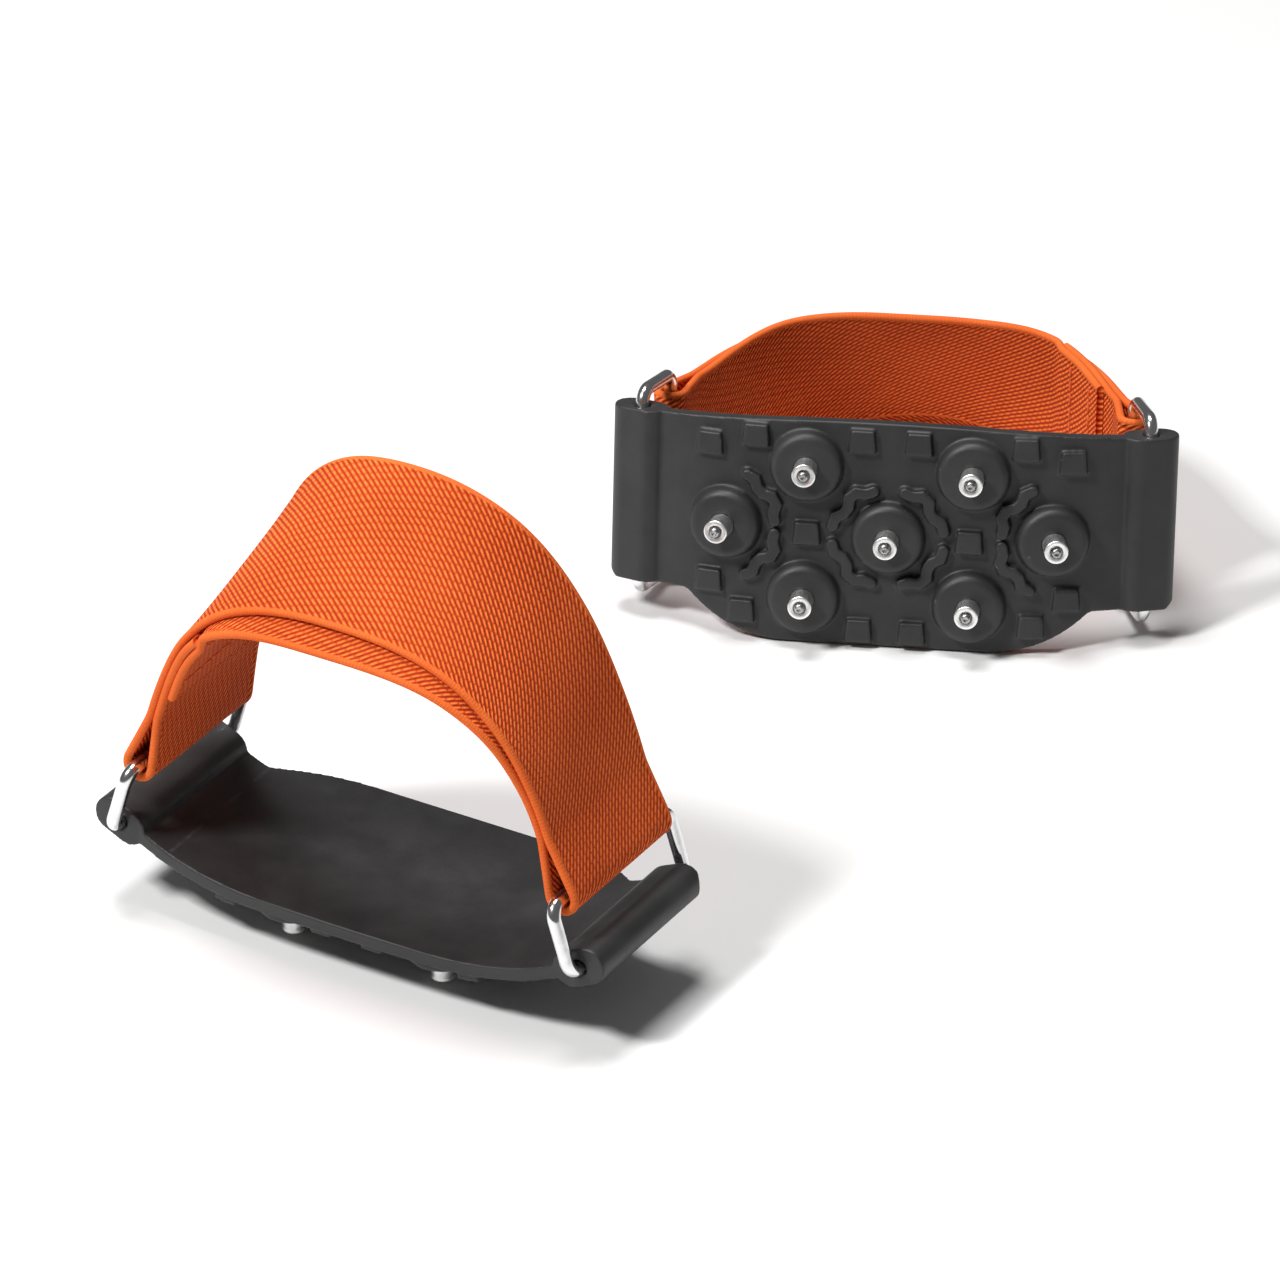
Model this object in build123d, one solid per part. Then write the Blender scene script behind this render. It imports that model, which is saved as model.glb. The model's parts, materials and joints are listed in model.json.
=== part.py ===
"""A pair of instep ice cleats, each one shaped as it is when worn.

Each cleat is a moulded rubber tread pad with seven carbide-tipped steel studs, a chromed wire
ring through a sleeve at each end of the pad, and one elastic webbing strap looped through both
rings. The left cleat lies on its studs. The right cleat stands on its heel-side edge with its
studs facing the front.

A cleat's own axes: X to the wearer's right, Y towards the toe, Z up, with the tip of the centre
stud at the origin. All sizes are in millimetres.
"""

import os
from math import asin, atan2, cos, degrees, pi, radians, sin

from build123d import *

# Tread pad: flat under the middle of the foot, then curving up to a sleeve at each end.
PAD_THICK = 3.0
STUD_REACH = 9.3  # from the pad's tread face to the stud tips
PAD_TOP = STUD_REACH + PAD_THICK
FLAT_HALF = 20.0
INNER_BEND = (90.0, 9.87)  # radius of the tread face, and the angle it turns
OUTER_BEND = (60.0, 15.13)
TOE_EDGE = (25.5, 23.5)  # at the middle of the pad, and at the sleeves
HEEL_EDGE = -25.0
HEEL_FLAT_HALF = 22.0
HEEL_CORNER = (29.5, 47.3)  # radius, and the angle it turns before it meets the sleeve
EDGE_FILLET = 2.5
OUTLINE_HALF = 70.0  # wider than the pad, so the outline leaves the sleeves their own ends

# Sleeves: flattened tubes that the rings pass through.
SLEEVE_WIDE = 12.5
SLEEVE_THICK = 8.0
SLEEVE_HEEL, SLEEVE_TOE = -15.5, 23.5
SLEEVE_MID = (SLEEVE_HEEL + SLEEVE_TOE) / 2
SLEEVE_CORNER = 1.5
SLEEVE_OVERLAP = 0.4  # how far the sleeve is let into the end of the pad

# Studs, their moulded bosses and the raised tread, placed by distance along the pad's arch.
STUD_PLACES = [(0, 0), (-18, 15.3), (18, 15.3), (-18, -14.6), (18, -14.6), (-35.5, 1), (35.5, 1)]
BOSS_BASE_R, BOSS_TOP_R, BOSS_HIGH, BOSS_ROUND = 8.0, 7.6, 3.3, 1.8
BARREL_R, BARREL_END = 2.6, 0.9  # the barrel stops this far above the stud's tip
FLANGE_R, FLANGE_THICK, FLANGE_DEEP = 4.6, 1.3, 1.9  # the flange sits this far above the tread
KNURL_RINGS, KNURL_DEEP, KNURL_START, KNURL_STOP = 7, 0.16, 0.4, 0.6
END_BEVEL = 0.15
TIP_R, TIP_DOME, TIP_LONG, RECESS_R, RECESS_DEEP = 1.05, 0.45, 5.0, 1.38, 0.5
BLOCK_PLACES = [
    (39.5, 18.7), (29.2, 21.5), (6.1, 21.5), (17.6, 0.0), (39.0, -12.4), (31.5, -18.6), (5.8, -21.5),
]
BLOCK_HEEL_WIDE, BLOCK_TOE_WIDE, BLOCK_LONG, BLOCK_HIGH = 5.9, 5.0, 5.0, 1.7
RIB_HIGH, RIB_WIDE, RIB_INNER_R, RIB_OUTER_R = 1.7, 2.5, 10.9, 12.2
CENTRE_RIB_ARC = (10, 72)  # degrees from the lateral axis, in each quadrant
OUTER_RIB_ARC = (112, 172)
RIB_STEPS, RIB_TREAD = 4, 0.55  # steps in each rib, and the share of a step that keeps its radius
KEYED_IN = 0.5  # raised tread is rooted this deep in the pad
TRIM = 1.0  # how far a rough shape runs past the line it is trimmed to

# Rings: rounded rectangles of round wire.
WIRE_R = 1.5
RING_LONG, RING_TALL, RING_CORNER = 45.0, 15.0, 3.0
RING_LEAN = 17.4  # towards the strap, in degrees
BORE_GAP = 0.05
BORE_MOUTH = 0.6

# Strap: one band of elastic webbing, sewn into a closed loop and worn two layers thick.
WEB_WIDE, WEB_THICK = 38.0, 1.7
EYE_R = 2.3  # inside the fold round a ring's upper bar
EYE_LONG = 13.0  # from the bar to where the two layers meet
EYE_NECK = (0.05, 1.5)  # half the gap where the eye closes, and how far short of the neck that is
BAND_START = 0.9  # the two layers start this share of the way up the eye, so that both overlap
CROWN_HIGH = 93.0
CROWN_TO_TOE = 6.0  # the crown lies this far nearer the toe than the rings
CROWN_TILT = 38.0  # the heel-side edge of the crown is raised by this angle
SIDE_PULL, CROWN_PULL = 38.0, 32.0  # handles of the arch's curve
LAYER_SHIFT = (0.2, 6.0)  # inner layer towards the toe, at the rings and at the crown
ARCH_STEPS = 9
LAP_SPAN = (0.24, 0.52)  # where the lap joint lies, as shares of the way from ring to crown
LAP_STEPS = 4
LAP_OVERLAP = 0.3  # how far the lap's solid is let into the band
STITCH_ROWS, STITCHES, STITCH_LONG, STITCH_THICK = 2, 10, 2.4, 0.7
STITCH_PITCH = 3.4

# How the two cleats lie on the ground: the left one on its studs, and the right one behind it on
# the heel edge of its pad, leaning back until the strap's heel edge touches the ground too.
LEFT_TURN = 149.0
RIGHT_TURN = 173.0
RIGHT_LEAN = 10.9
RIGHT_OFFSET = (100.0, 108.0)

os.makedirs("parts", exist_ok=True)


def pad_frame(along):
    """Where the tread face lies at a distance along the arch: (x, z, angle in degrees)."""
    side = 1 if along >= 0 else -1
    left = abs(along)
    x, z, angle = min(left, FLAT_HALF), STUD_REACH, 0.0
    left -= x
    for radius, turn in (INNER_BEND, OUTER_BEND):
        step = min(degrees(left / radius), turn)
        x += radius * (sin(radians(angle + step)) - sin(radians(angle)))
        z += radius * (cos(radians(angle)) - cos(radians(angle + step)))
        angle += step
        left -= radians(step) * radius
    return side * x, z, side * angle


PAD_END = FLAT_HALF + sum(radius * radians(turn) for radius, turn in (INNER_BEND, OUTER_BEND))
END_X, END_Z, END_ANGLE = pad_frame(PAD_END)
TO_SLEEVE = (SLEEVE_WIDE / 2 - SLEEVE_OVERLAP, PAD_THICK / 2)  # along and above the pad's end
BORE_X = END_X + TO_SLEEVE[0] * cos(radians(END_ANGLE)) - TO_SLEEVE[1] * sin(radians(END_ANGLE))
BORE_Z = END_Z + TO_SLEEVE[0] * sin(radians(END_ANGLE)) + TO_SLEEVE[1] * cos(radians(END_ANGLE))
BAR_X = BORE_X - RING_TALL * sin(radians(RING_LEAN))
BAR_Z = BORE_Z + RING_TALL * cos(radians(RING_LEAN))


def strip_half(below, above):
    """Half of a strip that follows the arch, as a face in XZ, between two offsets from the tread."""
    edges = []
    for offset in (-below, above):
        run = Line((0, STUD_REACH + offset), (FLAT_HALF, STUD_REACH + offset))
        edges.append(run)
        for radius, turn in (INNER_BEND, OUTER_BEND):
            run = JernArc(run @ 1, run % 1, radius - offset, turn)
            edges.append(run)
    lower, upper = edges[:3], edges[3:]
    inner_end = Line(lower[0] @ 0, upper[0] @ 0)
    outer_end = Line(lower[2] @ 1, upper[2] @ 1)
    return make_face([*edges, inner_end, outer_end])


def both_sides(half):
    return half + mirror(half, about=Plane.YZ)


def along_foot(section, heel, toe):
    """A section drawn in XZ, drawn out from the heel side to the toe side."""
    upright = Plane.XZ.offset(-heel) * section
    return extrude(upright, amount=toe - heel, dir=(0, 1, 0))


def pad_section():
    """The pad and both sleeves in XZ."""
    sleeve = Pos(BORE_X, BORE_Z) * Rot(0, 0, END_ANGLE) * SlotOverall(SLEEVE_WIDE, SLEEVE_THICK)
    return both_sides(strip_half(0, PAD_THICK) + sleeve)


def pad_outline():
    """The pad seen from above: a bowed toe edge, and a heel edge that curves in to the sleeves."""
    toe_mid, toe_end = TOE_EDGE
    whole_toe = ThreePointArc((-END_X, toe_end), (0, toe_mid), (END_X, toe_end))
    half_toe = ThreePointArc((END_X, toe_end), whole_toe @ 0.75, (0, toe_mid))
    heel = Line((0, HEEL_EDGE), (HEEL_FLAT_HALF, HEEL_EDGE))
    corner = JernArc(heel @ 1, heel % 1, *HEEL_CORNER)
    side = Polyline(
        corner @ 1,
        (END_X + TRIM, SLEEVE_HEEL),
        (BORE_X + SLEEVE_WIDE / 2 - SLEEVE_CORNER, SLEEVE_HEEL),
        (OUTLINE_HALF, SLEEVE_HEEL + OUTLINE_HALF - BORE_X - SLEEVE_WIDE / 2 + SLEEVE_CORNER),
        (OUTLINE_HALF, toe_end),
        (END_X, toe_end),
    )
    middle = Line((0, HEEL_EDGE), (0, toe_mid))
    half = make_face([heel, corner, *side.edges(), half_toe, middle])
    inner_corner = half.vertices().sort_by_distance(corner @ 1)[0]
    return both_sides(fillet(inner_corner, EDGE_FILLET))


def on_tread(along, forward):
    """A plane on the tread face whose Z points away from the foot and whose Y points to the toe."""
    x, z, angle = pad_frame(along)
    across, down = cos(radians(angle)), sin(radians(angle))
    return Plane(origin=(x, forward, z), x_dir=(-across, 0, -down), z_dir=(down, 0, -across))


def tread_layer(height):
    """A curved slab that stands this far out of the tread face, to cut raised tread from."""
    section = both_sides(strip_half(height, KEYED_IN))
    return along_foot(section, HEEL_EDGE, TOE_EDGE[0])


def drawn_up(shapes):
    """Flat shapes, as seen from below, drawn up from the ground through the whole pad."""
    return extrude(Sketch() + shapes, amount=PAD_TOP + END_Z)


def tread_block(along, forward):
    x, _, _ = pad_frame(along)
    half_heel, half_toe, half_long = BLOCK_HEEL_WIDE / 2, BLOCK_TOE_WIDE / 2, BLOCK_LONG / 2
    heel_corners = [(-half_heel, -half_long), (half_heel, -half_long)]
    toe_corners = [(half_toe, half_long), (-half_toe, half_long)]
    return Pos(x, forward) * make_face(Polyline(*heel_corners, *toe_corners, close=True))


def stepped_rib(along, forward, start, end):
    """A low rib that steps in and out as it goes round a boss, with round ends."""
    x, _, _ = pad_frame(along)
    points = []
    for step in range(RIB_STEPS):
        radius = RIB_INNER_R if step % 2 else RIB_OUTER_R
        for share in (step, step + RIB_TREAD):
            angle = radians(start + (end - start) * share / (RIB_STEPS - 1 + RIB_TREAD))
            points.append((x + radius * cos(angle), forward + radius * sin(angle)))
    rounds = [Pos(*point) * Circle(RIB_WIDE / 2) for point in points]
    return trace(Polyline(*points), RIB_WIDE) + rounds


def all_ribs():
    """Four ribs round the centre boss, and two on the inner side of each outer boss."""
    ribs = []
    for side in (1, -1):
        for toe in (1, -1):
            start, end = (toe * angle for angle in CENTRE_RIB_ARC)
            ribs.append(one_rib(0, 0, start, end, side))
            start, end = (toe * angle for angle in OUTER_RIB_ARC)
            ribs.append(one_rib(*STUD_PLACES[-1], start, end, side))
    return ribs


def one_rib(along, forward, start, end, side):
    rib = stepped_rib(along, forward, start, end)
    return rib if side > 0 else mirror(rib, about=Plane.YZ)


def boss():
    """The moulded cone round a stud, with a soft shoulder, standing on the plane's Z axis."""
    root = -KEYED_IN
    rim = (BOSS_TOP_R, BOSS_HIGH)
    profile = [(0, root), (BOSS_BASE_R, root), (BOSS_BASE_R, 0), rim, (0, BOSS_HIGH)]
    face = make_face(Polyline(*profile, close=True))
    shoulder = face.vertices().sort_by_distance((*rim, 0))[0]
    return revolve(Plane.XZ * fillet(shoulder, BOSS_ROUND), axis=Axis.Z)


def stud_outline(knurled):
    """Half of a stud's outline as (radius, height above the tread)."""
    barrel_top = STUD_REACH - BARREL_END
    points = [(0, -FLANGE_DEEP), (FLANGE_R, -FLANGE_DEEP), (FLANGE_R, FLANGE_THICK - FLANGE_DEEP)]
    points.append((BARREL_R, FLANGE_THICK - FLANGE_DEEP))
    if knurled:
        pitch = (barrel_top - BOSS_HIGH - KNURL_START - KNURL_STOP) / KNURL_RINGS
        for ring in range(KNURL_RINGS):
            low = BOSS_HIGH + KNURL_START + ring * pitch
            points += [(BARREL_R, low), (BARREL_R - KNURL_DEEP, low + pitch / 2)]
        points.append((BARREL_R, barrel_top - KNURL_STOP))
    points += [(BARREL_R, barrel_top - END_BEVEL), (BARREL_R - END_BEVEL, barrel_top), (RECESS_R, barrel_top)]
    return points


def stud_body():
    """The steel stud: a flange held inside the rubber, a ringed barrel and a recessed end."""
    barrel_top = STUD_REACH - BARREL_END
    tip_root = STUD_REACH - TIP_LONG
    points = stud_outline(True) + [
        (RECESS_R, barrel_top - RECESS_DEEP),
        (TIP_R, barrel_top - RECESS_DEEP),
        (TIP_R, tip_root),
        (0, tip_root),
    ]
    return revolve(Plane.XZ * make_face(Polyline(*points, close=True)), axis=Axis.Z)


def stud_room():
    """The space that a stud fills in the rubber."""
    points = stud_outline(False) + [(0, STUD_REACH)]
    return revolve(Plane.XZ * make_face(Polyline(*points, close=True)), axis=Axis.Z)


def stud_tip():
    """The carbide pin, pressed into the stud, with a domed end."""
    shaft = Pos(0, 0, STUD_REACH - TIP_LONG / 2) * Cylinder(TIP_R, TIP_LONG)
    dome_r = (TIP_R**2 + TIP_DOME**2) / (2 * TIP_DOME)
    under_dome = Sphere(dome_r) + Pos(0, 0, -TIP_LONG / 2) * Cylinder(dome_r, TIP_LONG)
    return shaft & Pos(0, 0, STUD_REACH - dome_r) * under_dome


def tread_pad():
    """The whole rubber moulding of one cleat."""
    pad = along_foot(pad_section(), HEEL_EDGE - TRIM, TOE_EDGE[0] + TRIM)
    pad &= extrude(pad_outline(), amount=BORE_Z + SLEEVE_WIDE)
    blocks = [tread_block(side * along, forward) for along, forward in BLOCK_PLACES for side in (1, -1)]
    pad += tread_layer(BLOCK_HIGH) & drawn_up(blocks)
    pad += tread_layer(RIB_HIGH) & drawn_up(all_ribs())
    for place in STUD_PLACES:
        pad += on_tread(*place).location * boss()
    for place in STUD_PLACES:
        pad -= on_tread(*place).location * stud_room()
    for side in (1, -1):
        pad -= sleeve_bore(side)
    return pad


def sleeve_bore(side):
    """A sleeve's bore, opened a little at both mouths so that it clears the ring's corners."""
    long = SLEEVE_TOE - SLEEVE_HEEL
    bore_r = WIRE_R + BORE_GAP
    bore = Cylinder(bore_r, long)
    for end in (1, -1):
        mouth = Cone(bore_r, bore_r + BORE_MOUTH, BORE_MOUTH)
        mouth = Pos(0, 0, (long - BORE_MOUTH) / 2) * mouth
        bore += mouth if end > 0 else mirror(mouth, about=Plane.XY)
    return Pos(side * BORE_X, SLEEVE_MID, BORE_Z) * Rot(-90, 0, 0) * bore


def wire_ring(side):
    """A rounded rectangle of wire, from the bore in its sleeve to the bar that holds the strap."""
    lean = radians(RING_LEAN)
    across = (-side * sin(lean), 0, cos(lean))
    middle = Vector(side * BORE_X, SLEEVE_MID, BORE_Z) + Vector(*across) * (RING_TALL / 2)
    plane = Plane(origin=middle, x_dir=(0, 1, 0), z_dir=Vector(0, 1, 0).cross(Vector(*across)))
    path = (plane * RectangleRounded(RING_LONG, RING_TALL, RING_CORNER)).wire()
    section = Plane(origin=path @ 0, z_dir=path % 0) * Circle(WIRE_R)
    return sweep(section, path=path)


def arch_curve():
    """The strap's middle line from the right ring's bar up to the crown, in XZ."""
    lean = radians(RING_LEAN)
    start = Vector(BAR_X, 0, BAR_Z)
    crown = Vector(0, 0, CROWN_HIGH)
    pull = Vector(-sin(lean), 0, cos(lean)) * SIDE_PULL
    return Bezier(start, start + pull, crown + Vector(CROWN_PULL, 0, 0), crown)


ARCH = arch_curve()
EYE_SHARE = EYE_LONG / ARCH.length


def rise(share):
    """From 0 where the strap leaves its eye to 1 at the crown."""
    return sin(pi / 2 * max(0.0, share - EYE_SHARE) / (1 - EYE_SHARE)) ** 2


def strap_frame(share, side):
    """Where the strap's two layers meet: (point, direction towards the toe, outward direction)."""
    up = rise(share)
    at = ARCH.position_at(share)
    along = ARCH.tangent_at(share)
    tilt = radians(CROWN_TILT) * up
    to_toe = Vector(0, cos(tilt), -sin(tilt))
    outward = to_toe.cross(Vector(along.X, 0, side * along.Z)).normalized()
    return Vector(side * at.X, SLEEVE_MID + CROWN_TO_TOE * up, at.Z), to_toe, outward


def inner_shift(share):
    """How far the inner layer lies towards the toe from the outer one."""
    at_ring, at_crown = LAYER_SHIFT
    return at_ring + (at_crown - at_ring) * rise(share)


def section_face(share, side, corners):
    """A closed section of the strap from its corners, as (distance to the toe, distance outward)."""
    at, to_toe, outward = strap_frame(share, side)
    return make_face(Polyline(*[at + to_toe * across + outward * out for across, out in corners], close=True))


def strap_section(share, side):
    """The strap's two layers cut across, at a share of the way from a ring's bar to the crown."""
    heel, toe = -WEB_WIDE / 2, WEB_WIDE / 2
    shift = inner_shift(share)
    corners = [(heel, WEB_THICK), (toe, WEB_THICK), (toe, 0), (toe + shift, 0)]
    corners += [(toe + shift, -WEB_THICK), (heel + shift, -WEB_THICK), (heel + shift, 0), (heel, 0)]
    return section_face(share, side, corners)


def lap_section(share, side):
    """The third layer at the lap joint, inside the other two."""
    heel, toe = inner_shift(share) - WEB_WIDE / 2, inner_shift(share) + WEB_WIDE / 2
    outer, inner = -WEB_THICK + LAP_OVERLAP, -2 * WEB_THICK
    return section_face(share, side, [(heel, outer), (toe, outer), (toe, inner), (heel, inner)])


def strap_band():
    """Both layers over the foot, from eye to eye."""
    start = EYE_SHARE * BAND_START
    shares = [start + (1 - start) * step / ARCH_STEPS for step in range(ARCH_STEPS + 1)]
    sections = [strap_section(share, 1) for share in shares]
    sections += [strap_section(share, -1) for share in reversed(shares[:-1])]
    return loft(sections)


def strap_eye(side):
    """The fold of the strap round a ring's bar, with a drop-shaped hole for the wire."""
    outer = drop(EYE_R + WEB_THICK, WEB_THICK, EYE_LONG)
    half_gap, short = EYE_NECK
    inner = drop(EYE_R, half_gap, EYE_LONG - short)
    fold = extrude(outer - inner, amount=WEB_WIDE / 2, both=True)
    lean = Rot(0, -side * RING_LEAN, 0)
    return Pos(side * BAR_X, SLEEVE_MID, BAR_Z) * lean * Rot(90, 0, 0) * fold


def drop(radius, half_neck, long):
    """A drop: a circle at the origin that narrows to a neck above it."""
    reach = Vector(half_neck, long).length
    turn = asin(radius / reach) - atan2(half_neck, long)
    touch = Vector(cos(turn) * radius, sin(turn) * radius)
    neck = [(half_neck, long), (-half_neck, long)]
    sides = Polyline((touch.X, touch.Y), *neck, (-touch.X, touch.Y), close=True)
    return make_face(sides) + Circle(radius)


def strap_lap(side):
    """The end of the band, laid over its start on the side of the foot."""
    first, last = LAP_SPAN
    shares = [first + (last - first) * step / LAP_STEPS for step in range(LAP_STEPS + 1)]
    return loft([lap_section(share, side) for share in shares])


def stitching(side):
    """The thread that holds the lap joint: rows of stitches across the strap's inner face."""
    first, last = LAP_SPAN
    thread = Part()
    for row in range(STITCH_ROWS):
        share = first + (last - first) * (row + 0.5) / STITCH_ROWS
        at, to_toe, outward = strap_frame(share, side)
        middle = at + to_toe * inner_shift(share) - outward * (2 * WEB_THICK)
        for stitch in range(STITCHES):
            place = middle + to_toe * (STITCH_PITCH * (stitch - (STITCHES - 1) / 2))
            plane = Plane(origin=place, x_dir=to_toe, z_dir=outward)
            thread += plane.location * Box(STITCH_LONG, STITCH_THICK, STITCH_THICK)
    return thread


def strap(side):
    """The whole strap, with its lap joint on one side of the foot."""
    return strap_band() + strap_eye(1) + strap_eye(-1) + strap_lap(side)


def cleat(name, inner_side):
    """All the pieces of one cleat, by node name. Its inner side is the one that faces the other foot."""
    pieces = {f"{name}_tread_pad": tread_pad()}
    for number, place in enumerate(STUD_PLACES, start=1):
        spot = on_tread(*place).location
        pieces[f"{name}_stud_{number}"] = spot * stud_body()
        pieces[f"{name}_stud_tip_{number}"] = spot * stud_tip()
    pieces[f"{name}_inner_ring"] = wire_ring(inner_side)
    pieces[f"{name}_outer_ring"] = wire_ring(-inner_side)
    thread = stitching(inner_side)
    pieces[f"{name}_strap"] = strap(inner_side) - thread
    pieces[f"{name}_strap_stitching"] = thread
    return pieces


def placed(pieces, place):
    return {name: place * shape for name, shape in pieces.items()}


def lowest(pieces):
    return min(shape.bounding_box().min.Z for shape in pieces.values())


def middle(pieces, axis):
    """The middle of all the pieces along X or Y."""
    boxes = [shape.bounding_box() for shape in pieces.values()]
    low = min(getattr(box.min, axis) for box in boxes)
    high = max(getattr(box.max, axis) for box in boxes)
    return (low + high) / 2


LEFT_PIECES = cleat("left", 1)
RIGHT_PIECES = cleat("right", -1)
RIGHT_STANCE = Rot(0, 0, RIGHT_TURN) * Rot(90 + RIGHT_LEAN, 0, 0)
LEFT_PLACE = Pos(0, 0, -lowest(LEFT_PIECES)) * Rot(0, 0, LEFT_TURN)
RIGHT_PLACE = Pos(*RIGHT_OFFSET, -lowest(placed(RIGHT_PIECES, RIGHT_STANCE))) * RIGHT_STANCE
PAIR = placed(LEFT_PIECES, LEFT_PLACE) | placed(RIGHT_PIECES, RIGHT_PLACE)
TO_ORIGIN = Pos(-middle(PAIR, "X"), -middle(PAIR, "Y"))

for node, solid in placed(PAIR, TO_ORIGIN).items():
    export_step(solid, f"parts/{node}.step")
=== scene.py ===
"""A pair of instep ice cleats: the finished pieces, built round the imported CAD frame.

Shapes are worked out in each cleat's own axes, in millimetres: X to the wearer's right, Y towards
the toe and Z up, with the tip of the centre stud at the origin. A matrix read from the frame's
joints carries them into the row frame, in metres.
"""

import json
import math

import bmesh
import bpy
import numpy as np
from mathutils import Matrix, Vector


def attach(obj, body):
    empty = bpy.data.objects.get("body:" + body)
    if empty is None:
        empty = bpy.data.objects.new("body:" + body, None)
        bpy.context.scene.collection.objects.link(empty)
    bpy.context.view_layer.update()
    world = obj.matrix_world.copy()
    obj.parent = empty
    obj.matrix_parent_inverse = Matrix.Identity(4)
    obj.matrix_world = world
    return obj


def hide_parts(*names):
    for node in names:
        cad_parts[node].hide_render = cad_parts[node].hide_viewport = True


MM = 0.001
INNER_SIDE = {"left": 1, "right": -1}
STUDS = range(1, 8)

# Driving sizes of the cleat, in millimetres and degrees.
SLEEVE_MID = 4.0
WIRE_R, RING_LONG, RING_CORNER, RING_LEAN = 1.5, 45.0, 3.0, 17.4
WEB_WIDE, WEB_THICK = 38.0, 1.7
EYE_LONG, EYE_R = 13.0, 3.0
CROWN_HIGH, CROWN_TO_TOE, CROWN_TILT = 93.0, 6.0, 38.0
SIDE_PULL, CROWN_PULL, CROWN_SHIFT = 38.0, 32.0, 6.0
LAP_SPAN = (0.24, 0.52)
STUD_REACH, BOSS_HIGH = 9.3, 3.3
BARREL_R, BARREL_END = 2.6, 0.9
TIP_R, TIP_LONG, RECESS_R, RECESS_DEEP = 1.05, 5.0, 1.42, 0.5

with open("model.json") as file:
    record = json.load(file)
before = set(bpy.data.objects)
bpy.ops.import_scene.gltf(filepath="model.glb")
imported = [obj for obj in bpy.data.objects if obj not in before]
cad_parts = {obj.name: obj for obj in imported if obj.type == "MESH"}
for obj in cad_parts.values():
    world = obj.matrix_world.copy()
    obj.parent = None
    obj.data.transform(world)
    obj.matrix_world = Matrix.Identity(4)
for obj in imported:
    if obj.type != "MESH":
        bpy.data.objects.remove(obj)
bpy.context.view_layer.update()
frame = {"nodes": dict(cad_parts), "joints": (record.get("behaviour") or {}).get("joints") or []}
JOINTS = {joint["name"]: joint for joint in frame["joints"]}
BORE_HIGH = JOINTS["left_outer_ring_hinge"]["pos_m"][2] / MM  # the left cleat stands on its studs


# ---------------------------------------------------------------- places from the frame


def cleat_place(name):
    """The matrix from a cleat's own axes, in metres, to the row frame."""
    inner = Vector(JOINTS[f"{name}_inner_ring_hinge"]["pos_m"])
    outer = Vector(JOINTS[f"{name}_outer_ring_hinge"]["pos_m"])
    to_toe = Vector(JOINTS[f"{name}_inner_ring_hinge"]["axis"])
    to_right = (inner - outer).normalized() * INNER_SIDE[name]
    up = to_right.cross(to_toe).normalized()
    origin = (inner + outer) / 2 - to_toe * SLEEVE_MID * MM - up * BORE_HIGH * MM
    place = Matrix((to_right, to_toe, up)).transposed().to_4x4()
    place.translation = origin
    return place


PLACES = {name: cleat_place(name) for name in INNER_SIDE}


def ring_points(name):
    """A cleat's ring bars in its own axes, in mm: (x, z) of the bore, and of the bar above it."""
    back = PLACES[name].inverted()
    bore = back @ Vector(JOINTS[f"{name}_outer_ring_hinge"]["pos_m"]) / MM
    bar = back @ Vector(JOINTS[f"{name}_strap_hinge"]["pos_m"]) / MM
    return (abs(bore.x), bore.z), (abs(bar.x), bar.z)


BORE, BAR = ring_points("left")


# ---------------------------------------------------------------- mesh helpers


def new_piece(name, points, faces, place):
    """A mesh object from points in a cleat's own axes, in mm."""
    turn = np.array(place.to_3x3())
    move = np.array(place.translation)
    mesh = bpy.data.meshes.new(name)
    mesh.from_pydata((np.asarray(points) * MM) @ turn.T + move, [], faces)
    mesh.polygons.foreach_set("use_smooth", [True] * len(mesh.polygons))
    mesh.update()
    piece = bpy.data.objects.new(name, mesh)
    bpy.context.scene.collection.objects.link(piece)
    return piece


def grid_faces(rows, columns, closed_rows=False, closed_columns=False):
    """Quads over a grid of points that are numbered row by row."""
    row = np.arange(rows if closed_rows else rows - 1)[:, None]
    column = np.arange(columns if closed_columns else columns - 1)[None, :]
    next_row, next_column = (row + 1) % rows, (column + 1) % columns
    corners = (
        row * columns + column,
        row * columns + next_column,
        next_row * columns + next_column,
        next_row * columns + column,
    )
    return np.stack([np.broadcast_to(c, (len(row), column.size)) for c in corners], axis=-1).reshape(-1, 4)


def finish_piece(piece, body, slot, material, *nodes):
    """Gives a piece its material, the body it moves with and the CAD nodes it stands for."""
    piece.data.materials.clear()
    piece.data.materials.append(material)
    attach(piece, body)
    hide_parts(*nodes)
    return piece


# ---------------------------------------------------------------- shader helpers

NOISE_ROUGH = 0.55


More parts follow.
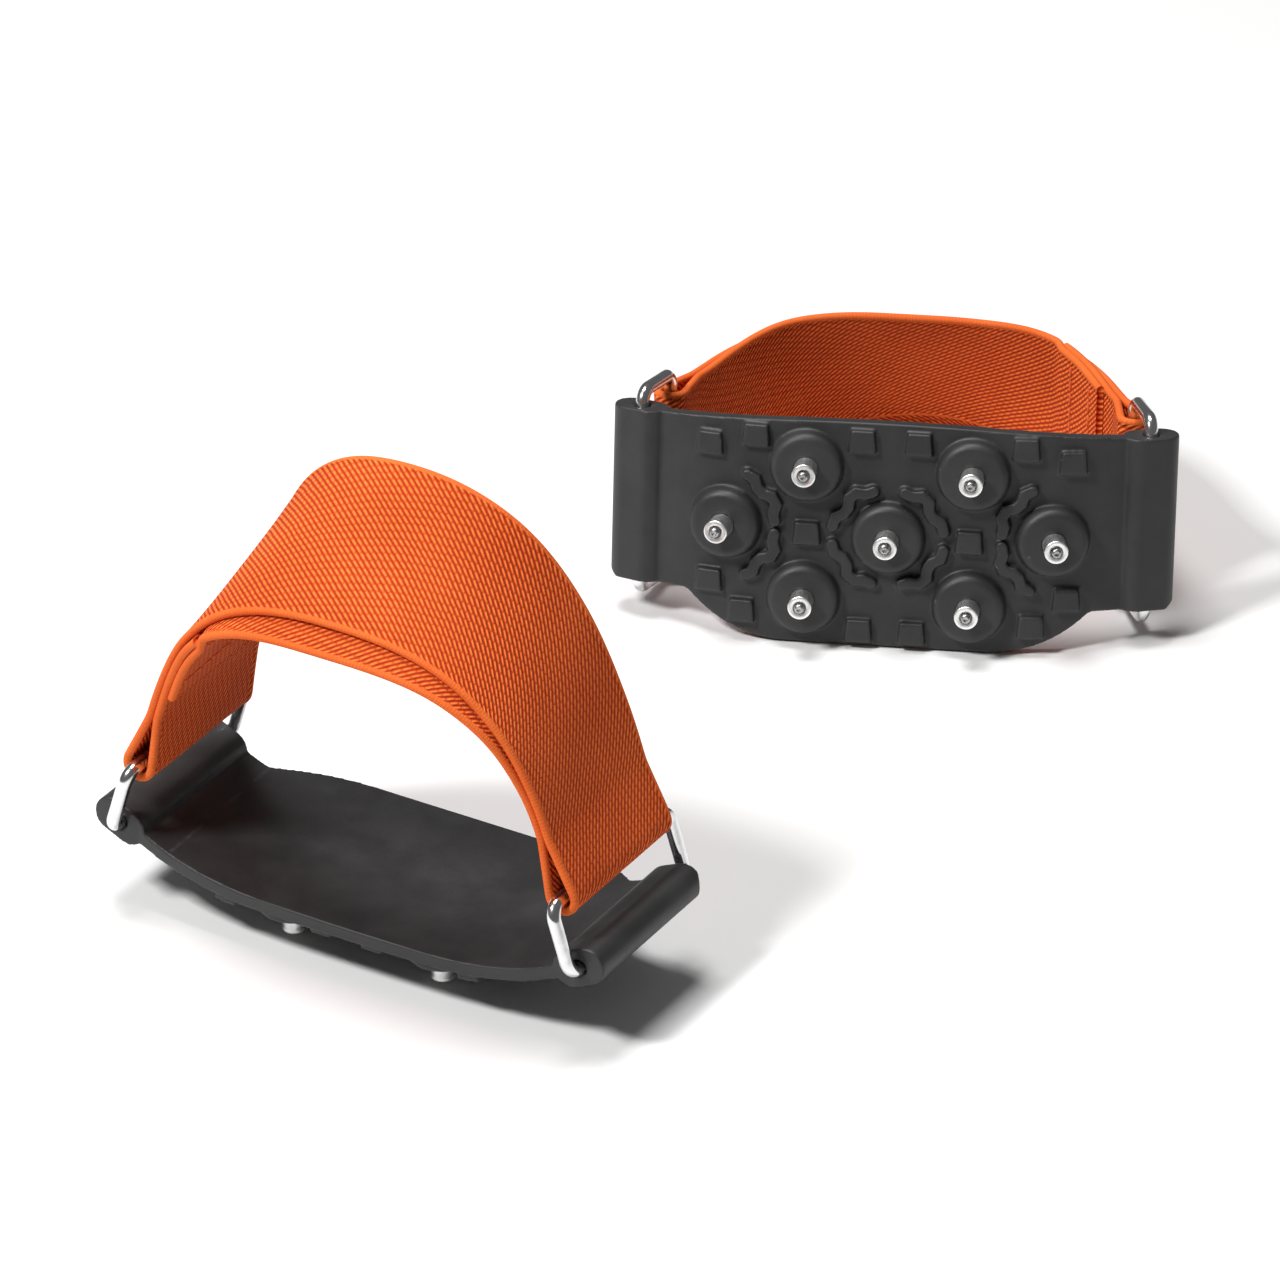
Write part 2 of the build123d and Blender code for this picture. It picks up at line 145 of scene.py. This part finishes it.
class Nodes:
    """A short way to write a material's node tree."""

    def __init__(self, name):
        self.material = bpy.data.materials.new(name)
        self.material.use_nodes = True
        self.tree = self.material.node_tree
        self.shader = self.tree.nodes["Principled BSDF"]

    def set(self, **sockets):
        for name, value in sockets.items():
            self.plug(value, self.shader.inputs[name.replace("_", " ")])

    def plug(self, value, socket):
        if isinstance(value, bpy.types.NodeSocket):
            self.tree.links.new(value, socket)
        else:
            socket.default_value = value

    def add(self, kind, inputs, output=0, **settings):
        node = self.tree.nodes.new(kind)
        for name, value in settings.items():
            setattr(node, name, value)
        for key, value in inputs.items():
            self.plug(value, node.inputs[key])
        return node.outputs[output]

    def math(self, operation, a, b=0.0, c=0.0):
        return self.add("ShaderNodeMath", {0: a, 1: b, 2: c}, operation=operation)

    def noise(self, scale, detail=3.0):
        inputs = {"Scale": scale, "Detail": detail, "Roughness": NOISE_ROUGH, "Vector": self.place()}
        return self.add("ShaderNodeTexNoise", inputs)

    def place(self):
        return self.add("ShaderNodeTexCoord", {}, output="Object")

    def spread(self, value, low, high, to_low=0.0, to_high=1.0):
        inputs = {0: value, 1: low, 2: high, 3: to_low, 4: to_high}
        return self.add("ShaderNodeMapRange", inputs)

    def mix(self, share, a, b):
        node = self.tree.nodes.new("ShaderNodeMix")
        node.data_type = "RGBA"
        colours = [socket for socket in node.inputs if socket.type == "RGBA"]
        self.plug(share, node.inputs[0])
        self.plug(a, colours[0])
        self.plug(b, colours[1])
        return next(socket for socket in node.outputs if socket.type == "RGBA")

    def bump(self, height, distance, strength=1.0):
        return self.add("ShaderNodeBump", {"Height": height, "Distance": distance, "Strength": strength})


def rgb(red, green, blue):
    return (red, green, blue, 1.0)


# ---------------------------------------------------------------- materials


def rubber_material():
    """Moulded black rubber: matte, faintly mottled, with lighter edges that are partly rubbed wear and partly
    a painted highlight.
    """
    look = Nodes("tread_rubber")
    mottle = look.spread(look.noise(90.0, 4.0), 0.35, 0.7)
    fine = look.noise(1600.0, 2.0)
    edge = look.spread(look.add("ShaderNodeNewGeometry", {}, output="Pointiness"), 0.56, 0.64)
    # Convex edges are lightened in patches: partly rubbed wear, partly a painted highlight where edges would
    # catch the light.
    rubbed_and_highlit_edges = look.math("MULTIPLY", edge, look.spread(look.noise(240.0, 3.0), 0.35, 0.65))
    base = look.mix(mottle, rgb(0.018, 0.018, 0.019), rgb(0.029, 0.029, 0.030))
    colour = look.mix(look.math("MULTIPLY", rubbed_and_highlit_edges, 0.5), base, rgb(0.11, 0.11, 0.112))
    rough = look.math("ADD", look.spread(mottle, 0.0, 1.0, 0.44, 0.54), look.math("MULTIPLY", fine, 0.06))
    height = look.math("ADD", look.math("MULTIPLY", fine, 0.5), look.noise(420.0, 3.0))
    look.set(Base_Color=colour, Roughness=rough, Normal=look.bump(height, 0.00006, 0.7))
    look.set(Specular_IOR_Level=0.45)
    return look.material


def steel_material():
    """Turned steel with a little dulling in its tone and roughness."""
    look = Nodes("stud_steel")
    stain = look.spread(look.noise(500.0, 3.0), 0.5, 0.75)
    colour = look.mix(stain, rgb(0.95, 0.95, 0.94), rgb(0.76, 0.76, 0.75))
    rough = look.spread(look.noise(1400.0, 2.0), 0.3, 0.7, 0.30, 0.42)
    look.set(Base_Color=colour, Roughness=rough, Metallic=1.0)
    return look.material


def carbide_material():
    """Ground carbide: a darker, greyer metal."""
    look = Nodes("stud_carbide")
    mottle = look.spread(look.noise(900.0, 2.0), 0.35, 0.65)
    colour = look.mix(mottle, rgb(0.30, 0.30, 0.31), rgb(0.46, 0.46, 0.47))
    rough = look.spread(look.noise(1800.0, 2.0), 0.3, 0.7, 0.26, 0.42)
    look.set(Base_Color=colour, Roughness=rough, Metallic=1.0)
    return look.material


def chrome_material():
    """Bright chrome on drawn wire, with faint haze."""
    look = Nodes("ring_chrome")
    haze = look.noise(350.0, 3.0)
    colour = look.mix(look.spread(haze, 0.4, 0.7), rgb(0.78, 0.78, 0.79), rgb(0.66, 0.66, 0.67))
    look.set(Base_Color=colour, Roughness=look.spread(haze, 0.3, 0.7, 0.12, 0.24), Metallic=1.0)
    look.set(Normal=look.bump(look.noise(700.0, 2.0), 0.00002, 0.5))
    return look.material


WEAVE_RIB, WEAVE_DASH, WEAVE_ANGLE, WEAVE_STAGGER = 1.0, 2.1, -37.0, 0.37
SELVEDGE, SELVEDGE_BLEND, SELVEDGE_WRAP = 1.2, 0.2, 0.8


def wave(look, turns):
    """A smooth wave between 0 and 1, with its crests at whole turns."""
    cosine = look.math("COSINE", look.math("MULTIPLY", turns, 2 * math.pi))
    return look.math("MULTIPLY_ADD", cosine, 0.5, 0.5)


def twill(look, along, across):
    """The height of slanting ribs, each broken into yarn floats that are staggered rib by rib."""
    slant = math.radians(WEAVE_ANGLE)
    wander = look.math("MULTIPLY", look.math("SUBTRACT", look.noise(130.0, 2.0), 0.5), 0.5)

    def turned(a, b, period):
        mixed = look.math("ADD", look.math("MULTIPLY", along, a), look.math("MULTIPLY", across, b))
        return look.math("ADD", look.math("DIVIDE", mixed, period), wander)

    rib_turns = turned(math.sin(slant), math.cos(slant), WEAVE_RIB)
    rib_number = look.math("FLOOR", look.math("ADD", rib_turns, 0.5))
    dash_turns = turned(math.cos(slant), -math.sin(slant), WEAVE_DASH)
    dash = wave(look, look.math("ADD", dash_turns, look.math("MULTIPLY", rib_number, WEAVE_STAGGER)))
    float_high = look.math("MULTIPLY_ADD", look.math("POWER", dash, 0.4), 0.7, 0.3)
    return look.math("MULTIPLY", wave(look, rib_turns), float_high)


def webbing_material():
    """Twill elastic webbing between smooth selvedges, with a painted shade in the hollows between yarns and a
    painted highlight on the raised yarn.
    """
    look = Nodes("strap_webbing")
    uv = look.add("ShaderNodeUVMap", {}, uv_map="band")
    parts = look.tree.nodes.new("ShaderNodeSeparateXYZ")
    look.plug(uv, parts.inputs[0])
    along, across = parts.outputs[0], parts.outputs[1]
    border = WEB_WIDE / 2 - SELVEDGE
    edge = look.spread(look.math("ABSOLUTE", across), border - SELVEDGE_BLEND, border + SELVEDGE_BLEND)
    wraps = look.math("MULTIPLY_ADD", wave(look, look.math("DIVIDE", along, SELVEDGE_WRAP)), 0.08, 0.50)
    height = look.add("ShaderNodeMix", {0: edge, 2: twill(look, along, across), 3: wraps})
    fuzz = look.noise(2200.0, 3.0)
    # The weave's height, with fuzz, picks the colour: painted shade in the hollows, and the yarn's orange
    # with a painted highlight on top.
    shade = look.math("ADD", height, look.math("MULTIPLY", look.math("SUBTRACT", fuzz, 0.5), 0.35))
    worn = look.spread(look.noise(45.0, 3.0), 0.3, 0.7)
    hollow_shade_colour = look.mix(worn, rgb(0.34, 0.022, 0.004), rgb(0.44, 0.030, 0.005))
    yarn_colour_and_highlight = look.mix(worn, rgb(0.91, 0.178, 0.034), rgb(0.98, 0.230, 0.050))
    colour = look.mix(look.spread(shade, 0.05, 0.85), hollow_shade_colour, yarn_colour_and_highlight)
    relief = look.math("ADD", height, look.math("MULTIPLY", fuzz, 0.25))
    look.set(Base_Color=colour, Roughness=0.85, Normal=look.bump(relief, 0.00030, 1.0))
    look.set(Specular_IOR_Level=0.12)
    return look.material


def thread_material():
    """Sewing thread: the strap's colour with the lay of its twist, with a painted shade in the twist's
    grooves.
    """
    look = Nodes("strap_thread")
    lay = look.add("ShaderNodeTexWave", {"Scale": 900.0, "Distortion": 1.5, "Vector": look.place()}, output=1)
    # The twist's grooves get the dark colour as painted shade, and its ridges get the lighter one.
    colour = look.mix(lay, rgb(0.55, 0.055, 0.008), rgb(0.90, 0.16, 0.03))
    look.set(Base_Color=colour, Roughness=0.75, Normal=look.bump(lay, 0.00006, 0.8))
    return look.material


def floor_material():
    """A near-white ground."""
    look = Nodes("pale_floor")
    shade = look.spread(look.noise(3.0, 2.0), 0.3, 0.7)
    look.set(Base_Color=look.mix(shade, rgb(0.86, 0.86, 0.855), rgb(0.88, 0.88, 0.875)), Roughness=0.6)
    return look.material


# ---------------------------------------------------------------- tread pad

VOXEL = 0.34
SOFTEN_PASSES = 3


def merged_copy(node, place):
    """A CAD node's mesh in the cleat's own axes, in mm, with its split corners joined."""
    mesh = frame["nodes"][node].data.copy()
    mesh.transform(Matrix.Scale(1 / MM, 4) @ place.inverted())
    work = bmesh.new()
    work.from_mesh(mesh)
    bmesh.ops.remove_doubles(work, verts=work.verts, dist=0.0005)
    work.to_mesh(mesh)
    work.free()
    return mesh


def moulded_pad():
    """The tread pad with the soft edges of a moulding: its CAD mesh remeshed fine and relaxed."""
    rough = bpy.data.objects.new("pad_blank", merged_copy("left_tread_pad", PLACES["left"]))
    bpy.context.scene.collection.objects.link(rough)
    remesh = rough.modifiers.new("remesh", "REMESH")
    remesh.mode = "VOXEL"
    remesh.voxel_size = VOXEL
    relax = rough.modifiers.new("relax", "SMOOTH")
    relax.factor, relax.iterations = 0.5, SOFTEN_PASSES
    shape = bpy.data.meshes.new_from_object(rough.evaluated_get(bpy.context.evaluated_depsgraph_get()))
    bpy.data.objects.remove(rough)
    points = np.zeros(len(shape.vertices) * 3)
    shape.vertices.foreach_get("co", points)
    return points.reshape(-1, 3), [tuple(face.vertices) for face in shape.polygons]


def tread_pads(material):
    points, faces = moulded_pad()
    for name, place in PLACES.items():
        pad = new_piece(f"{name}_moulded_pad", points, faces, place)
        finish_piece(pad, f"{name}_tread", "tread_rubber", material, f"{name}_tread_pad")


# ---------------------------------------------------------------- studs

LATHE_STEPS = 96
SUNK = 1.5  # the barrel begins this far inside its boss
KNURL_DEEP, KNURL_PITCH, KNURL_STARTS, KNURL_ROWS = 0.13, 0.62, 24, 30
KNURL_FROM_BOSS, KNURL_FROM_END = 0.3, 0.7


def lathe(profile, ripple=None):
    """Points and faces of a turned shape from (radius, height) pairs that begin and end on the axis."""
    turns = np.arange(LATHE_STEPS) * 2 * math.pi / LATHE_STEPS
    inner = np.array(profile[1:-1])
    radius = np.repeat(inner[:, :1], LATHE_STEPS, axis=1)
    height = np.repeat(inner[:, 1:], LATHE_STEPS, axis=1)
    if ripple is not None:
        radius = radius - ripple(turns[None, :], height) * (np.abs(radius - BARREL_R) < 0.001)
    rings = np.stack([radius * np.cos(turns), radius * np.sin(turns), height], axis=-1).reshape(-1, 3)
    faces = [tuple(face) for face in grid_faces(len(inner), LATHE_STEPS, closed_columns=True)]
    first, last = len(rings), len(rings) + 1
    top = (len(inner) - 1) * LATHE_STEPS
    for step in range(LATHE_STEPS):
        after = (step + 1) % LATHE_STEPS
        faces.append((first, after, step))
        faces.append((last, top + step, top + after))
    ends = [(0, 0, profile[0][1]), (0, 0, profile[-1][1])]
    return np.concatenate([rings, ends]), faces


def knurl(turns, height):
    """How deep the crossed knurling cuts into the barrel."""
    low, high = BOSS_HIGH + KNURL_FROM_BOSS, STUD_REACH - BARREL_END - KNURL_FROM_END
    phase = 2 * math.pi * height / KNURL_PITCH
    cut = np.minimum(np.cos(phase + KNURL_STARTS * turns), np.cos(phase - KNURL_STARTS * turns))
    return KNURL_DEEP * (0.5 - 0.5 * cut) * ((height > low) & (height < high))


def stud_profile():
    """The stud that shows above its boss: knurled barrel, bevelled end and recess."""
    end = STUD_REACH - BARREL_END
    profile = [(0, BOSS_HIGH - SUNK), (BARREL_R, BOSS_HIGH - SUNK)]
    profile += [(BARREL_R, height) for height in np.linspace(BOSS_HIGH - 1, end - 0.3, KNURL_ROWS)]
    profile += [(BARREL_R - 0.06, end - 0.12), (BARREL_R - 0.18, end - 0.02), (BARREL_R - 0.3, end)]
    profile += [(RECESS_R + 0.12, end), (RECESS_R + 0.03, end - 0.05), (RECESS_R, end - 0.14)]
    profile += [(RECESS_R - 0.02, end - RECESS_DEEP), (0, end - RECESS_DEEP)]
    return profile


def tip_profile():
    """The carbide pin: a straight side, a rounded shoulder and a shallow dimple."""
    end = STUD_REACH
    profile = [(0, end - TIP_LONG), (TIP_R, end - TIP_LONG), (TIP_R, end - 0.5)]
    profile += [(TIP_R - 0.04, end - 0.3), (TIP_R - 0.16, end - 0.12), (TIP_R - 0.36, end - 0.02)]
    profile.append((TIP_R - 0.46, end))
    profile += [(0.46, end - 0.04), (0.3, end - 0.14), (0.12, end - 0.19), (0, end - 0.2)]
    return profile


def area_centre(node):
    """The centre of a CAD node's surface, in the row frame."""
    mesh = frame["nodes"][node].data
    total = sum(face.area for face in mesh.polygons)
    return sum((face.center * face.area for face in mesh.polygons), Vector()) / total


def stud_place(name, number):
    """A matrix onto a stud's own axis, with Z out of the tread and 0 at the tread face."""
    body, tip = (area_centre(f"{name}_{part}_{number}") for part in ("stud", "stud_tip"))
    out = (tip - body).normalized()
    points = [vertex.co.dot(out) for vertex in frame["nodes"][f"{name}_stud_tip_{number}"].data.vertices]
    place = out.to_track_quat("Z", "Y").to_matrix().to_4x4()
    place.translation = tip + out * (max(points) - tip.dot(out) - STUD_REACH * MM)
    return place


def studs(steel, carbide):
    barrel, barrel_faces = lathe(stud_profile(), knurl)
    pin, pin_faces = lathe(tip_profile())
    for name in PLACES:
        for number in STUDS:
            place = stud_place(name, number)
            stud = new_piece(f"{name}_knurled_stud_{number}", barrel, barrel_faces, place)
            finish_piece(stud, f"{name}_tread", "stud_steel", steel, f"{name}_stud_{number}")
            tip = new_piece(f"{name}_carbide_pin_{number}", pin, pin_faces, place)
            finish_piece(tip, f"{name}_tread", "stud_carbide", carbide, f"{name}_stud_tip_{number}")


# ---------------------------------------------------------------- rings

WIRE_STEPS, CORNER_STEPS = 28, 12


def ring_path():
    """The ring's centreline as (along the foot, across the ring), with its outward directions."""
    tall = math.dist(BORE, BAR)
    path, outward = [], []
    for quarter, (sx, sy) in enumerate(((1, 1), (-1, 1), (-1, -1), (1, -1))):
        middle = np.array((sx * (RING_LONG / 2 - RING_CORNER), sy * (tall / 2 - RING_CORNER)))
        for step in range(CORNER_STEPS + 1):
            angle = math.pi / 2 * (quarter + step / CORNER_STEPS)
            away = np.array((math.cos(angle), math.sin(angle)))
            path.append(middle + away * RING_CORNER)
            outward.append(away)
    return np.array(path), np.array(outward)


def wire_ring(side):
    """A ring of round wire in a cleat's own axes."""
    path, outward = ring_path()
    lean = math.radians(RING_LEAN)
    toe, rise = np.array((0, 1, 0)), np.array((-side * math.sin(lean), 0, math.cos(lean)))
    flat = np.cross(toe, rise)
    middle = np.array((side * (BORE[0] + BAR[0]) / 2, SLEEVE_MID, (BORE[1] + BAR[1]) / 2))
    centre = middle + path[:, :1] * toe + path[:, 1:] * rise
    away = outward[:, :1] * toe + outward[:, 1:] * rise
    turns = np.arange(WIRE_STEPS) * 2 * math.pi / WIRE_STEPS
    around = away[:, None, :] * np.cos(turns)[None, :, None] + flat * np.sin(turns)[None, :, None]
    points = (centre[:, None, :] + around * WIRE_R).reshape(-1, 3)
    return points, grid_faces(len(path), WIRE_STEPS, closed_rows=True, closed_columns=True).tolist()


def rings(material):
    for name, place in PLACES.items():
        for which, side in (("inner", INNER_SIDE[name]), ("outer", -INNER_SIDE[name])):
            ring = new_piece(f"{name}_{which}_wire_ring", *wire_ring(side), place)
            finish_piece(ring, f"{name}_{which}_ring", "ring_chrome", material, f"{name}_{which}_ring")


# ---------------------------------------------------------------- strap

STATION_GAP = 0.62
ARCH_STEPS, EYE_STEPS = 600, 40
PATH_GAP = 0.2
SMOOTH_OVER = 0.8
HIDDEN_END, LAP_STEP = 2, 5  # how far past the lap's top the hidden end lies, and the lap steps in
HALF_THICK, BEAD_THICK, BEAD_WIDE, EDGE_ROUND = 0.76, 0.86, 2.4, 0.75
RIPPLES = ((0.045, 7.3, 9.1), (0.03, 3.1, -5.2))  # height, and mm per radian along and across


def arch_samples():
    """The arch from a ring's bar to the crown: distances along it, points and directions in XZ."""
    lean = math.radians(RING_LEAN)
    start, crown = np.array(BAR), np.array((0.0, CROWN_HIGH))
    pulled = start + SIDE_PULL * np.array((-math.sin(lean), math.cos(lean)))
    t = np.linspace(0, 1, ARCH_STEPS)[:, None]
    points = (1 - t) ** 3 * start + 3 * t * (1 - t) ** 2 * pulled
    points += 3 * t**2 * (1 - t) * (crown + (CROWN_PULL, 0)) + t**3 * crown
    slopes = np.gradient(points, axis=0)
    slopes /= np.linalg.norm(slopes, axis=1)[:, None]
    steps = np.linalg.norm(np.diff(points, axis=0), axis=1)
    return np.concatenate([[0], np.cumsum(steps)]), points, slopes


ARCH_AT, ARCH_POINTS, ARCH_SLOPES = arch_samples()
ARCH_LONG = ARCH_AT[-1]


def strap_frame(from_crown):
    """Where the strap's middle is, for distances from the crown (positive on the wearer's right).

    Gives points between the two layers, directions to the toe, directions outward, and the rise
    from 0 at the rings to 1 at the crown.
    """
    side, up_from_bar = np.where(from_crown < 0, -1.0, 1.0), ARCH_LONG - np.abs(from_crown)
    clear = np.clip(up_from_bar, 0, ARCH_LONG)
    below = np.minimum(up_from_bar, 0)
    x, z = (np.interp(clear, ARCH_AT, ARCH_POINTS[:, k]) + below * ARCH_SLOPES[0, k] for k in (0, 1))
    slope_x, slope_z = (np.interp(clear, ARCH_AT, ARCH_SLOPES[:, k]) for k in (0, 1))
    rise = np.sin(math.pi / 2 * np.clip((up_from_bar - EYE_LONG) / (ARCH_LONG - EYE_LONG), 0, 1)) ** 2
    tilt = math.radians(CROWN_TILT) * rise
    none = np.zeros_like(from_crown)
    to_toe = np.stack([none, np.cos(tilt), -np.sin(tilt)], axis=-1)
    outward = np.cross(to_toe, np.stack([slope_x, none, side * slope_z], axis=-1))
    outward /= np.linalg.norm(outward, axis=-1)[..., None]
    middle = np.stack([side * x, SLEEVE_MID + CROWN_TO_TOE * rise, z], axis=-1)
    return middle, to_toe, outward, rise


def eye_route(side, from_outer):
    """The strap's way round one ring's bar, as (distance from the crown, distance outward) points."""
    neck = (WEB_THICK / 2, EYE_LONG)
    touch = math.atan2(neck[1], neck[0]) - math.acos(EYE_R / math.hypot(*neck))
    angles = np.linspace(touch, -math.pi - touch, EYE_STEPS)
    route = np.stack([ARCH_LONG - EYE_R * np.sin(angles), EYE_R * np.cos(angles)], axis=-1)
    route = route if from_outer else route[::-1]
    return route * (side, 1)


def band_route(inner_side):
    """The whole band from its hidden end, round both rings, to the lap, in the terms of eye_route."""
    half = WEB_THICK / 2
    neck = (ARCH_LONG - EYE_LONG) * inner_side
    lap_end, lap_top = ((1 - share) * ARCH_LONG * inner_side for share in LAP_SPAN)
    hidden_end, step = lap_top - HIDDEN_END * inner_side, lap_top - LAP_STEP * inner_side
    legs = [
        [(hidden_end, -half), (neck, -half)],
        eye_route(inner_side, False),
        [(neck, half), (-neck, half)],
        eye_route(-inner_side, True),
        [(-neck, -half), (step, -half), (lap_top, -3 * half), (lap_end, -3 * half)],
    ]
    return np.concatenate([np.array(leg, float) for leg in legs])


def evenly(points, gap):
    along = np.concatenate([[0], np.cumsum(np.linalg.norm(np.diff(points, axis=0), axis=1))])
    at = np.linspace(0, along[-1], int(along[-1] / gap) + 1)
    return np.stack([np.interp(at, along, column) for column in points.T], axis=-1)


def eased(points, over):
    """The points with their sudden turns rounded off over a short distance."""
    reach = int(3 * over / PATH_GAP)
    weights = np.exp(-0.5 * (np.arange(-reach, reach + 1) * PATH_GAP / over) ** 2)
    padded = np.pad(points, ((reach, reach), (0, 0)), mode="reflect", reflect_type="odd")
    return np.stack([np.convolve(column, weights / weights.sum(), "valid") for column in padded.T], axis=-1)


def band_section():
    """The band cut across: distances towards the toe, and half its thickness there."""
    edge = WEB_WIDE / 2
    body = np.linspace(0, edge - BEAD_WIDE, 12)
    bead = edge - np.array((2.1, 1.8, 1.5, 1.2, 0.95, EDGE_ROUND))
    round_turns = np.radians((20, 40, 58, 74, 86))
    tip = edge - EDGE_ROUND + EDGE_ROUND * np.sin(round_turns)
    thick = np.concatenate([
        np.full(len(body), HALF_THICK),
        HALF_THICK + (BEAD_THICK - HALF_THICK) * np.array((-0.9, -0.5, 0.5, 0.9, 1.0, 1.0)),
        BEAD_THICK * np.cos(round_turns),
    ])
    across = np.concatenate([body, bead, tip])
    return np.concatenate([-across[:0:-1], across]), np.concatenate([thick[:0:-1], thick])


def band_line(inner_side):
    """The band's centreline: points, directions to the toe, normals and distances along it."""
    route = evenly(eased(evenly(band_route(inner_side), PATH_GAP), SMOOTH_OVER), STATION_GAP)
    from_crown, out = route.T
    middle, to_toe, outward, rise = strap_frame(from_crown)
    shift = CROWN_SHIFT * rise * np.clip(0.5 - out / WEB_THICK, 0, 1)
    centre = middle + outward * out[:, None] + to_toe * shift[:, None]
    ahead = np.gradient(centre, axis=0)
    lengths = np.linalg.norm(ahead, axis=1)
    normal = np.cross(to_toe, ahead / lengths[:, None])
    normal /= np.linalg.norm(normal, axis=1)[:, None]
    return centre, to_toe, normal, np.cumsum(lengths)


def band_caps(stations, around):
    """The faces that close the band's two cut ends."""
    caps = []
    for row, turn in ((0, 1), (stations - 1, -1)):
        first = row * around
        for near in range(around // 2 - 1):
            far = around - 1 - near
            cap = [first + near, first + near + 1, first + far - 1, first + far]
            caps.append(cap[::turn])
    return caps


def band_mesh(inner_side):
    """The band's points and faces, its (along, across) coordinates for the weave, and its length."""
    centre, to_toe, normal, along = band_line(inner_side)
    across, thick = band_section()
    ripple = sum(high * np.sin(along[:, None] / long + across / wide) for high, long, wide in RIPPLES)
    flat = centre[:, None, :] + to_toe[:, None, :] * across[None, :, None]
    flat += normal[:, None, :] * ripple[:, :, None]
    lift = normal[:, None, :] * thick[None, :, None]
    points = np.concatenate([flat + lift, (flat - lift)[:, ::-1]], axis=1)
    stations, around = points.shape[:2]
    faces = grid_faces(stations, around, closed_columns=True).tolist() + band_caps(stations, around)
    both = np.concatenate([across, across[::-1]])
    web = np.stack(np.broadcast_arrays(along[:, None], both[None, :]), axis=-1)
    return points.reshape(-1, 3), faces, web.reshape(-1, 2), along[-1]


def strap(name, material):
    """One cleat's strap: a single band of webbing, with its two ends overlapped and sewn."""
    points, faces, web, long = band_mesh(INNER_SIDE[name])
    band = new_piece(f"{name}_webbing_strap", points, faces, PLACES[name])
    layer = band.data.uv_layers.new(name="band")
    corners = np.zeros(len(band.data.loops), int)
    band.data.loops.foreach_get("vertex_index", corners)
    layer.data.foreach_set("uv", web[corners].reshape(-1).astype(np.float32))
    finish_piece(band, f"{name}_strap", "strap_webbing", material, f"{name}_strap")


STITCH_ROWS, STITCHES, STITCH_PITCH = 2, 10, 3.4
STITCH_HALF, STITCH_PLUMP, STITCH_SUNK = (1.35, 0.34, 0.30), 0.6, 0.02
STITCH_RINGS, STITCH_STEPS = 9, 12


def stitch_shape():
    """One plump stitch, with its long way towards the toe."""
    ends = np.linspace(0, math.pi, STITCH_RINGS)[:, None]
    turns = np.arange(STITCH_STEPS) * 2 * math.pi / STITCH_STEPS
    plump = np.sin(ends) ** STITCH_PLUMP
    bead = np.stack(np.broadcast_arrays(-np.cos(ends), plump * np.cos(turns), plump * np.sin(turns)), axis=-1)
    return bead.reshape(-1, 3) * STITCH_HALF, grid_faces(STITCH_RINGS, STITCH_STEPS, closed_columns=True)


def stitching(name, material):
    """The thread of the lap joint: rows of plump stitches across the inside of the strap."""
    bead, bead_faces = stitch_shape()
    first, last = LAP_SPAN
    points, faces = [], []
    for row in range(STITCH_ROWS):
        share = first + (last - first) * (row + 0.5) / STITCH_ROWS
        from_crown = np.array([(1 - share) * ARCH_LONG * INNER_SIDE[name]])
        (middle,), (to_toe,), (outward,), (rise,) = strap_frame(from_crown)
        axes = np.stack([to_toe, np.cross(to_toe, outward), outward])
        for stitch in range(STITCHES):
            across = CROWN_SHIFT * rise + STITCH_PITCH * (stitch - (STITCHES - 1) / 2)
            at = middle + to_toe * across - outward * (2 * WEB_THICK - STITCH_SUNK)
            faces.append(bead_faces + len(points) * len(bead))
            points.append(at + bead @ axes)
    piece_name, faces = f"{name}_lap_stitches", np.concatenate(faces).tolist()
    thread = new_piece(piece_name, np.concatenate(points), faces, PLACES[name])
    finish_piece(thread, f"{name}_strap", "strap_thread", material, f"{name}_strap_stitching")


# ---------------------------------------------------------------- floor, lights and camera


FLOOR_WIDE = 8
LIGHTS_AIM, WORLD_LIGHT = (0, 0, 0.04), 0.12
LIGHTS = {  # place, size and power
    "key": ((-0.70, -0.42, 1.05), 0.22, 15),
    "top": ((-0.15, 0.15, 1.3), 0.45, 13),
}


def floor():
    bpy.ops.mesh.primitive_plane_add(size=FLOOR_WIDE, location=(0, 0, 0))
    ground = bpy.context.object
    ground.name = "pale_floor"
    ground.data.materials.append(floor_material())


def area_light(name, place, size, power):
    data = bpy.data.lights.new(name, "AREA")
    data.size, data.energy = size, power
    light = bpy.data.objects.new(name, data)
    light.location = place
    light.rotation_euler = (Vector(LIGHTS_AIM) - Vector(place)).to_track_quat("-Z", "Y").to_euler()
    bpy.context.scene.collection.objects.link(light)


def lights():
    """A key light from the left, a light overhead, and a dim white world."""
    for name, (place, size, power) in LIGHTS.items():
        area_light(name, place, size, power)
    world = bpy.data.worlds.new("studio")
    world.use_nodes = True
    background = world.node_tree.nodes["Background"]
    background.inputs["Color"].default_value = rgb(1.0, 1.0, 1.0)
    background.inputs["Strength"].default_value = WORLD_LIGHT
    bpy.context.scene.world = world


CAMERA_UP, CAMERA_FAR, CAMERA_WIDTH = math.radians(30.0), 1.9, 0.270
CAMERA_AIM = (-0.002, -0.010, 0.027)


def camera():
    """The photograph's view: from the front, 30 degrees above the ground, through a long lens."""
    data = bpy.data.cameras.new("camera")
    data.sensor_width = 36.0
    data.lens = data.sensor_width * CAMERA_FAR / CAMERA_WIDTH
    eye = bpy.data.objects.new("camera", data)
    away = Vector((0, -math.cos(CAMERA_UP), math.sin(CAMERA_UP)))
    eye.location = Vector(CAMERA_AIM) + away * CAMERA_FAR
    eye.rotation_euler = (-away).to_track_quat("-Z", "Y").to_euler()
    bpy.context.scene.collection.objects.link(eye)
    bpy.context.scene.camera = eye


camera()
lights()
floor()
tread_pads(rubber_material())
studs(steel_material(), carbide_material())
rings(chrome_material())
WEBBING, THREAD = webbing_material(), thread_material()
for cleat in PLACES:
    strap(cleat, WEBBING)
    stitching(cleat, THREAD)
bpy.context.scene.view_settings.view_transform = "Standard"
